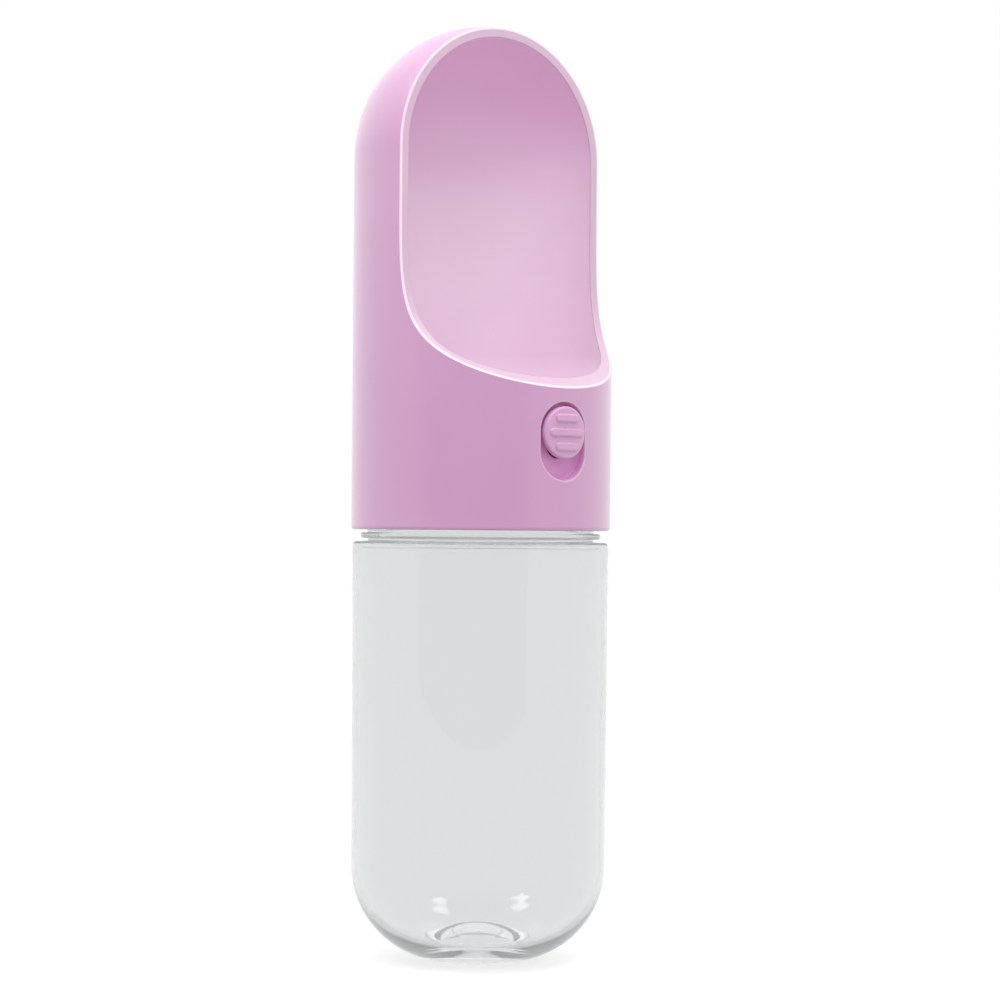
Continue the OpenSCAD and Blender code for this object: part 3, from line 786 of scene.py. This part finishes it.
def make_bottle():
    sh = Shell()
    n = 224
    # the hollow under the base, the standing ring and the base's corner
    punt_r, punt_h, stand_r = 9.8, 4.6, 11.0
    pr = (punt_r ** 2 + punt_h ** 2) / (2 * punt_h)
    cx, rc = 32.9 - 24.3, 24.3
    cz = math.sqrt(rc ** 2 - (stand_r - cx) ** 2)
    a_st = -math.degrees(math.acos((stand_r - cx) / rc))
    hollow = arc(0, punt_h - pr, pr, 90, math.degrees(math.acos(punt_r / pr)), 16)
    mark = [(r, z) for r, z in hollow if r < 5.4] + [(5.6, hollow[8][1] - 0.0, 0.1)]
    z58 = punt_h - pr + math.sqrt(pr ** 2 - 5.8 ** 2)
    mark = [(r, z) for r, z in hollow if r < 5.3] + [(5.7, z58 + 0.02, 0.12), (5.8, z58 - 0.22, 0.12)]
    hollow = mark + [(r, z - 0.22 * max(0, 1 - (r - 5.8) / 3)) for r, z in hollow if 6.2 < r < punt_r - 0.5]
    foot = hollow + [(punt_r, 0, 0.45), (stand_r, 0)]
    revolve(sh, profile_rows(filleted(foot)), n)
    body = [np.array(p) for p in arc(cx, cz, rc, a_st, 0, 40)]
    body += [np.array((32.9 + 0.2 * t, cz + (106.4 - cz) * t)) for t in np.linspace(0, 1, 13)[1:]]
    revolve(sh, profile_rows(body), n)

    # the shoulder's corner, with its fine knurl
    sx, sz, sr = 31.6, 106.4, 1.5
    knurl = [(28, 0.0), (36, 0.13), (44, 0.2), (52, 0.2), (60, 0.13), (68, 0.0)]

    def corner(a):
        c, s = math.cos(math.radians(a)), math.sin(math.radians(a))
        return sx + sr * c, sz + sr * s, c, s

    revolve(sh, [corner(a) for a in (0, 7, 14, 21)], n)
    revolve(sh, [corner(a) for a in (75, 82, 90)], n)
    rows, nrm = [], []
    m = 4 * n
    ph = np.arange(m) * 2 * math.pi / m
    for a, deep in knurl:
        r, z, c, s = corner(a)
        cut = deep * (0.5 + 0.5 * np.cos(ph * n))
        slope = deep * 0.5 * n * np.sin(ph * n) / r
        rr, zz = r - cut * c, z - cut * s
        p = np.stack([rr * np.sin(ph), -rr * np.cos(ph), zz], 1)
        q = np.stack([c * np.sin(ph), -c * np.cos(ph), np.full(m, s)], 1)
        q -= np.stack([np.cos(ph), np.sin(ph), np.zeros(m)], 1) * slope[:, None]
        rows.append(p)
        nrm.append(unit(q))
    sh.strip(rows, nrm)
    for a, b, row, nr in ((21, 24, rows[0], nrm[0]), (75, 72, rows[-1], nrm[-1])):
        r, z, c, s = corner(a)
        few, nf = circle(r, z, n, c, s)
        r, z, c, s = corner(b)
        mid, nm = circle(r, z, 2 * n, c, s)
        double(sh, few, mid, nf, nm)
        double(sh, mid, row, nm, nr)

    # neck, from the shoulder to the thread
    neck = [(31.6, 107.9), (29.3, 107.9, 0.25), (29.3, 108.6, 0.15), (31.1, 108.6, 0.55), (31.1, 110.0, 0.55),
            (29.3, 110.0, 0.15), (29.3, 111.1, 0.3), (28.2, 111.6)]
    revolve(sh, profile_rows(filleted(neck, 12)), n)
    th = np.arange(n) * 360.0 / n - 90.0

    def ridge(theta, z):
        h = np.zeros(np.broadcast(theta, z).shape)
        for turn in (0, 360):
            t = theta % 360 + turn
            zc = 112.7 + 3.2 * t / 360
            rise = np.clip(0.12 + 0.88 * np.minimum(t, 450 - t) / 25, 0, 1)
            rise = np.where((t > 450) | (t < 0), 0, rise)
            top = 1.5 * rise - 0.4
            half_t = (0.8 + 1.4 * (1 - rise)) / 2
            d = np.abs(z - zc)
            k = np.clip((1.1 - d) / np.maximum(1.1 - half_t, 1e-3), 0, 1)
            k = k * k * (3 - 2 * k) * 0.5 + k * 0.5
            h = np.maximum(h, np.clip(-0.4 + (top + 0.4) * k, 0, 2))
        return h

    rows, nrm = [], []
    for z in np.linspace(111.6, 117.9, 31):
        e = 0.05
        rr = 28.2 + ridge(th, z)
        dz = (ridge(th, z + e) - ridge(th, z - e)) / (2 * e)
        da = (ridge(th + 0.4, z) - ridge(th - 0.4, z)) / (2 * math.radians(0.4) * rr)
        if z < 111.61 or z > 117.89:
            dz, da = dz * 0, da * 0
        s, c = np.sin(np.radians(th + 90)), -np.cos(np.radians(th + 90))
        p = np.stack([rr * s, rr * c, np.full(n, z)], 1)
        q = np.stack([s, c, -dz], 1) - np.stack([-c, s, np.zeros(n)], 1) * da[:, None]
        rows.append(p)
        nrm.append(unit(q))
    sh.strip(rows, nrm)

    # mouth, inside wall and the dome in the base
    in_r = rc - 3.8
    in_x = 32.9 - 1.6 - in_r
    ring_r, base_t = 13.8, 3.6
    a_in = -math.degrees(math.acos((ring_r - in_x) / in_r))
    ring_z = cz + in_r * math.sin(math.radians(a_in))
    dh = punt_h + base_t - ring_z
    dr = (ring_r ** 2 + dh ** 2) / (2 * dh)
    dome = arc(0, punt_h + base_t - dr, dr, math.degrees(math.acos(ring_r / dr)), 90, 14)
    mouth = [(28.2, 117.9), (28.2, 118.6, 0.5), (26.5, 118.6, 0.4), (26.5, 107.0, 0.5), (31.5, 107.0, 0.5)]
    mouth += [(31.5 - 0.2 * t, 103.5 + (cz - 103.5) * t) for t in np.linspace(0, 1, 12)]
    mouth += arc(in_x, cz, in_r, 0, a_in, 30)[1:-1] + [(ring_r, ring_z, 0.9)] + dome[1:]
    revolve(sh, profile_rows(filleted(mouth)), n)
    return sh.piece("clear_bottle")


bottle = make_bottle()
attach(bottle, "bottle")
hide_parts("bottle")


# ------------------------------------------------------------------ bosses inside the head

def make_bosses():
    sh = Shell()

    def block(x0, x1, y0, y1, z0, z1):
        for axis, lo, hi in ((0, x0, x1), (1, y0, y1), (2, z0, z1)):
            b = [(x0, x1), (y0, y1), (z0, z1)]
            u, v = [i for i in range(3) if i != axis]
            for at, sgn in ((lo, -1.0), (hi, 1.0)):
                pts = []
                for i, j in ((0, 0), (1, 0), (1, 1), (0, 1)):
                    p = [0.0, 0.0, 0.0]
                    p[axis], p[u], p[v] = at, b[u][i], b[v][j]
                    pts.append(p)
                nn = [0.0, 0.0, 0.0]
                nn[axis] = sgn
                sh.face(pts, [nn] * 4)

    def boss(x, y0, y1, z, r, upright=False):
        a = np.arange(40) * 2 * math.pi / 40
        ring = np.stack([r * np.cos(a), np.zeros(40), r * np.sin(a)], 1)
        n = unit(ring)
        if upright:
            ring, n = ring[:, (0, 2, 1)], n[:, (0, 2, 1)]
        ax = 2 if upright else 1
        ends = []
        for v in (y0, y1):
            q = ring.copy()
            q[:, ax] = v
            q[:, 0] += x
            q[:, 1 if upright else 2] += z
            ends.append(q)
        sh.strip(ends, [n, n])
        for q, sgn in ((ends[0], -1.0), (ends[1], 1.0)):
            d = np.zeros((40, 3))
            d[:, ax] = sgn
            sh.face(q, d)

    for s in (-1, 1):
        block(s * 8.6 - 0.45, s * 8.6 + 0.45, -30.3, -26.7, 126.3, 142.6)
        boss(s * SCREW_X, -29.3, -26.6, 133.0, 2.3)
        boss(s * EAR_X, 134.85, 142.6, EAR_Y, 2.6, upright=True)
    return sh.piece("head_bosses")

bosses = make_bosses()
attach(bosses, "head")


# ------------------------------------------------------------------ materials

def srgb(r, g, b):
    def lin(v):
        v /= 255.0
        return v / 12.92 if v <= 0.04045 else ((v + 0.055) / 1.055) ** 2.4
    return (lin(r), lin(g), lin(b), 1.0)


# ------------------------------------------------------------------ springs

def make_spring(node, wire_r, turns, body):
    """A coil along Y at the node's place; it moves with the given body as one piece."""
    lo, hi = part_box(node)
    lo, hi = np.array(lo) * 1000, np.array(hi) * 1000
    cx, cz = (lo[0] + hi[0]) / 2, (lo[2] + hi[2]) / 2
    mid = (hi[0] - lo[0]) / 2 - wire_r
    sh = Shell()
    steps, k = turns * 30, 10
    b = np.arange(k) * 2 * math.pi / k
    rows, normals = [], []
    for i in range(steps + 1):
        a = 2 * math.pi * i / 30
        r = mid + wire_r * np.cos(b)
        y = lo[1] + wire_r + (hi[1] - lo[1] - 2 * wire_r) * i / steps + wire_r * np.sin(b)
        rows.append(np.stack([cx + r * math.cos(a), y, cz + r * math.sin(a)], 1))
        normals.append(np.stack([np.cos(b) * math.cos(a), np.sin(b), np.cos(b) * math.sin(a)], 1))
    sh.strip(rows, normals)
    for ring, way in ((rows[0], -1.0), (rows[-1], 1.0)):
        sh.face(list(ring), [(0.0, 0.0, way)] * k)
    ob = sh.piece(node + "_coil")
    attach(ob, body)
    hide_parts(node)
    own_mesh(ob)
    return ob


coils = [make_spring("button_spring", 0.22, 4, "button"),
         make_spring("valve_spring", 0.25, 4, "valve")]


# ------------------------------------------------------------------ looks

def blank(name):
    m = bpy.data.materials.new(name)
    m.use_nodes = True
    nt = m.node_tree
    return m, nt, nt.nodes["Principled BSDF"]


def place(nt):
    return nt.nodes.new("ShaderNodeTexCoord").outputs["Object"]


def noise(nt, scale, detail=3.0, rough=0.55, stretch=None):
    t = nt.nodes.new("ShaderNodeTexNoise")
    t.inputs["Scale"].default_value = scale
    t.inputs["Detail"].default_value = detail
    t.inputs["Roughness"].default_value = rough
    src = place(nt)
    if stretch:
        mp = nt.nodes.new("ShaderNodeMapping")
        mp.inputs["Scale"].default_value = stretch
        nt.links.new(src, mp.inputs["Vector"])
        src = mp.outputs["Vector"]
    nt.links.new(src, t.inputs["Vector"])
    return t.outputs["Fac"]


def spread(nt, fac, lo, hi):
    m = nt.nodes.new("ShaderNodeMapRange")
    m.inputs["From Min"].default_value = 0.3
    m.inputs["From Max"].default_value = 0.7
    m.inputs["To Min"].default_value = lo
    m.inputs["To Max"].default_value = hi
    nt.links.new(fac, m.inputs["Value"])
    return m.outputs["Result"]


def tint(nt, fac, a, b):
    r = nt.nodes.new("ShaderNodeValToRGB")
    r.color_ramp.elements[0].position = 0.35
    r.color_ramp.elements[0].color = a
    r.color_ramp.elements[1].position = 0.65
    r.color_ramp.elements[1].color = b
    nt.links.new(fac, r.inputs["Fac"])
    return r.outputs["Color"]


def bump(nt, height, distance, strength, to):
    b = nt.nodes.new("ShaderNodeBump")
    b.inputs["Distance"].default_value = distance
    b.inputs["Strength"].default_value = strength
    nt.links.new(height, b.inputs["Height"])
    nt.links.new(b.outputs["Normal"], to)


def plastic(name, a, b, rough, grain=2600.0, depth=0.000012, sss=0.0, ior=1.47, coat=0.0, sheen=0.0, painted_glow_strength=0.0):
    m, nt, p = blank(name)
    if painted_glow_strength:
        # painted glow: a constant magenta emission lightens narrow shaded gaps, though the plastic is no lamp
        p.inputs["Emission Color"].default_value = (0.36, 0.07, 0.28, 1.0)
        p.inputs["Emission Strength"].default_value = painted_glow_strength
    nt.links.new(tint(nt, noise(nt, 38.0, 2.0), a, b), p.inputs["Base Color"])
    nt.links.new(spread(nt, noise(nt, 420.0, 4.0), rough - 0.03, rough + 0.03), p.inputs["Roughness"])
    p.inputs["IOR"].default_value = ior
    if sss:
        p.inputs["Subsurface Weight"].default_value = sss
        p.inputs["Subsurface Radius"].default_value = (1.0, 0.55, 0.85)
        p.inputs["Subsurface Scale"].default_value = 0.0016
    if sheen:
        p.inputs["Sheen Weight"].default_value = sheen
        p.inputs["Sheen Roughness"].default_value = 0.45
    if coat:
        p.inputs["Coat Weight"].default_value = coat
        p.inputs["Coat Roughness"].default_value = 0.12
    bump(nt, noise(nt, grain, 2.0, 0.5), depth, 0.5, p.inputs["Normal"])
    return m


def clear_plastic(name):
    m, nt, p = blank(name)
    p.inputs["Base Color"].default_value = CLEAR
    p.inputs["Transmission Weight"].default_value = 0.98
    # painted glow: a faint constant emission lightens the clear wall
    p.inputs["Emission Color"].default_value = (0.93, 1.0, 1.0, 1.0)
    p.inputs["Emission Strength"].default_value = 0.042
    p.inputs["IOR"].default_value = 1.34
    p.inputs["Specular IOR Level"].default_value = 1.0
    nt.links.new(spread(nt, noise(nt, 140.0, 3.0), 0.012, 0.03), p.inputs["Roughness"])
    bump(nt, noise(nt, 42.0, 1.0, 0.4, (1, 1, 0.35)), 0.00012, 0.35, p.inputs["Normal"])
    return m


def rubber(name, a, b):
    m, nt, p = blank(name)
    nt.links.new(tint(nt, noise(nt, 300.0, 3.0), a, b), p.inputs["Base Color"])
    nt.links.new(spread(nt, noise(nt, 900.0, 3.0), 0.5, 0.62), p.inputs["Roughness"])
    p.inputs["IOR"].default_value = 1.41
    bump(nt, noise(nt, 5200.0, 2.0), 0.00001, 0.5, p.inputs["Normal"])
    return m


def metal(name, a, b, rough, stretch=(1, 1, 9)):
    m, nt, p = blank(name)
    nt.links.new(tint(nt, noise(nt, 500.0, 2.0), a, b), p.inputs["Base Color"])
    p.inputs["Metallic"].default_value = 1.0
    drawn = noise(nt, 2600.0, 4.0, 0.6, stretch)
    nt.links.new(spread(nt, drawn, rough - 0.05, rough + 0.08), p.inputs["Roughness"])
    bump(nt, drawn, 0.000004, 0.4, p.inputs["Normal"])
    return m


CLEAR = (0.964, 0.972, 0.971, 1.0)
pink = plastic("pink_shell", srgb(188, 141, 178), srgb(190, 143, 180), 0.34, sheen=0.6)
# a paler copy of the pink for the trough and the rim's outer edge: painted light
trough_painted_light = plastic("pink_trough_painted_light", srgb(227, 205, 221), srgb(229, 207, 223), 0.42)
# a rim tone dimmer than the trough's and lighter than the shell's: painted shade on the rim face, a painted highlight
# line on the recess edge
rim_painted_shade_and_highlight = plastic("rim_painted_shade_and_highlight", srgb(194, 166, 186), srgb(196, 168, 188), 0.36)
pink_button = plastic("pink_button", srgb(193, 146, 183), srgb(196, 149, 186), 0.3, sheen=0.4)
# the recess, pocket and slot walls glow a little: painted light in their shade
recess_painted_glow = plastic("pink_recess_painted_glow", srgb(189, 140, 180), srgb(192, 143, 183), 0.34, painted_glow_strength=0.32)
# the slider glows: painted light in the dark slot behind the button
slider_painted_glow = plastic("pink_slider_painted_glow", srgb(218, 152, 207), srgb(221, 155, 210), 0.4, painted_glow_strength=0.5)

# painted shade: the inside of the hood is deeper pink towards its crown, under the dome, and pale towards its floor
nt = trough_painted_light.node_tree
p = nt.nodes["Principled BSDF"]
pale = p.inputs["Base Color"].links[0].from_socket
xyz = nt.nodes.new("ShaderNodeSeparateXYZ")
nt.links.new(place(nt), xyz.inputs["Vector"])
crown_shade_mask = nt.nodes.new("ShaderNodeMapRange")
crown_shade_mask.interpolation_type = "SMOOTHSTEP"
crown_shade_mask.inputs["From Min"].default_value = 0.193
crown_shade_mask.inputs["From Max"].default_value = 0.226
nt.links.new(xyz.outputs["Z"], crown_shade_mask.inputs["Value"])
mix = nt.nodes.new("ShaderNodeMix")
mix.data_type = "RGBA"
nt.links.new(crown_shade_mask.outputs["Result"], mix.inputs["Factor"])
nt.links.new(pale, [i for i in mix.inputs if i.name == "A" and i.type == "RGBA"][0])
[i for i in mix.inputs if i.name == "B" and i.type == "RGBA"][0].default_value = srgb(229, 190, 220)
nt.links.new([o for o in mix.outputs if o.type == "RGBA"][0], p.inputs["Base Color"])
clear = clear_plastic("clear_wall")
milky = plastic("inner_plastic", srgb(236, 236, 233), srgb(240, 240, 238), 0.42, 1800.0)
seal = rubber("soft_seal", srgb(214, 214, 210), srgb(222, 222, 219))
steel = metal("steel", srgb(196, 198, 201), srgb(206, 208, 211), 0.24)
wire = metal("spring_wire", srgb(188, 190, 194), srgb(202, 204, 208), 0.2, (1, 9, 1))

head.data.materials.append(pink)
head.data.materials.append(trough_painted_light)
head.data.materials.append(recess_painted_glow)
head.data.materials.append(rim_painted_shade_and_highlight)
bosses.data.materials.append(pink)
button.data.materials.append(pink_button)
bottle.data.materials.append(clear)
for ob in coils:
    ob.data.materials.append(wire)

LOOKS = {
    "neck_gasket": seal, "threaded_collar": milky, "inlet_screen": steel, "inlet_seal": seal,
    "valve_housing": milky, "gland_cap": milky, "rod_seal": seal, "end_plug": milky,
    "plug_seal": seal, "outlet_seal": seal, "housing_screws": steel, "slider_retainer": milky,
    "retainer_screws": steel, "strap_pin": steel, "air_valve": seal, "lock_slider": slider_painted_glow,
    "stem_clip": steel, "valve_rod": milky, "push_pad": seal,
    "valve_plug": seal,
}
for name, look in LOOKS.items():
    ob = frame["nodes"][name]
    ob.data.materials.clear()
    ob.data.materials.append(look)


# ------------------------------------------------------------------ floor, light

def flat_material(name, colour, rough):
    m, nt, p = blank(name)
    p.inputs["Base Color"].default_value = colour
    p.inputs["Roughness"].default_value = rough
    return m


def panel(name, corners, material):
    mesh = bpy.data.meshes.new(name)
    mesh.from_pydata([tuple(c) for c in corners], [], [list(range(len(corners)))])
    mesh.materials.append(material)
    ob = bpy.data.objects.new(name, mesh)
    bpy.context.scene.collection.objects.link(ob)
    return ob


view_dir = Vector((-math.sin(math.radians(38.88)), -math.cos(math.radians(38.88)), 0))
side_dir = Vector((-view_dir.y, view_dir.x, 0))


def at(f, s, z):
    v = view_dir * f + side_dir * s
    return (v.x, v.y, z)


floor_mat, floor_nt, floor_p = blank("table")
floor_p.inputs["Roughness"].default_value = 0.6
floor_nt.links.new(tint(floor_nt, noise(floor_nt, 6.0, 2.0), (0.3, 0.3, 0.3, 1), (0.31, 0.31, 0.31, 1)),
                   floor_p.inputs["Base Color"])
floor_p.inputs["Emission Color"].default_value = (1, 1, 1, 1)
floor_p.inputs["Emission Strength"].default_value = 0.67
AMBIENT = 0.86
THROUGH = 0.6
floor = panel("table", [at(0.73, -4, 0), at(0.73, 4, 0), at(-4, 4, 0), at(-4, -4, 0)], floor_mat)

floor.visible_diffuse = False
floor.visible_transmission = False

# a dark card behind the camera: it shapes the reflections and is not seen itself
card_mat = flat_material("dark_card", (0.02, 0.02, 0.02, 1), 1.0)
pts, faces = [], []
card_r = 1.3
steps = 24
for i in range(steps + 1):
    a = math.radians(-42 + (42 + 55) * i / steps)
    d = view_dir * math.cos(a) * card_r + side_dir * math.sin(-a) * card_r
    pts += [(d.x, d.y, -0.9), (d.x, d.y, 1.1)]
for i in range(steps):
    faces.append([2 * i, 2 * i + 1, 2 * i + 3, 2 * i + 2])
mesh = bpy.data.meshes.new("dark_card")
mesh.from_pydata(pts, [], faces)
mesh.materials.append(card_mat)
card = bpy.data.objects.new("dark_card", mesh)
bpy.context.scene.collection.objects.link(card)
card.visible_camera = False
card.visible_transmission = False
card.visible_diffuse = False
card.visible_shadow = False

# the studio: white as it is seen and mirrored, dimmer as light from all round
world = bpy.data.worlds.new("studio")
bpy.context.scene.world = world
world.use_nodes = True
wn = world.node_tree
bg = wn.nodes["Background"]
bg.inputs["Color"].default_value = (1, 1, 1, 1)
path = wn.nodes.new("ShaderNodeLightPath")
sums = []
for kind, less in (("Is Diffuse Ray", 1 - AMBIENT), ("Is Transmission Ray", 1 - THROUGH)):
    m = wn.nodes.new("ShaderNodeMath")
    m.operation = "MULTIPLY_ADD"
    m.inputs[1].default_value = -less
    m.inputs[2].default_value = 1.0
    wn.links.new(path.outputs[kind], m.inputs[0])
    if sums:
        wn.links.new(sums[-1].outputs[0], m.inputs[2])
    sums.append(m)
wn.links.new(sums[-1].outputs[0], bg.inputs["Strength"])


def area(name, place_, target, size, power, size_y=None):
    d = bpy.data.lights.new(name, "AREA")
    d.energy = power
    d.size = size
    if size_y:
        d.shape = "RECTANGLE"
        d.size_y = size_y
    ob = bpy.data.objects.new(name, d)
    bpy.context.scene.collection.objects.link(ob)
    ob.visible_camera = False
    v = Vector(target) - Vector(place_)
    ob.matrix_world = Matrix.Translation(place_) @ v.to_track_quat("-Z", "Y").to_matrix().to_4x4()
    return ob


area("top", at(0.12, -0.08, 0.90), (0, 0, 0.12), 0.3, 2.0)
area("left_high", at(0.12, -0.50, 0.80), (0, 0, 0.12), 0.2, 1.3)
area("right_high", at(0.06, 0.40, 0.86), (0, 0, 0.12), 0.2, 1.3)
front = area("front_high", at(0.47, 0.06, 0.62), (0, 0, 0.17), 0.5, 2.0)
front.visible_glossy = False
front.visible_transmission = False

bpy.context.scene.view_settings.view_transform = "Standard"
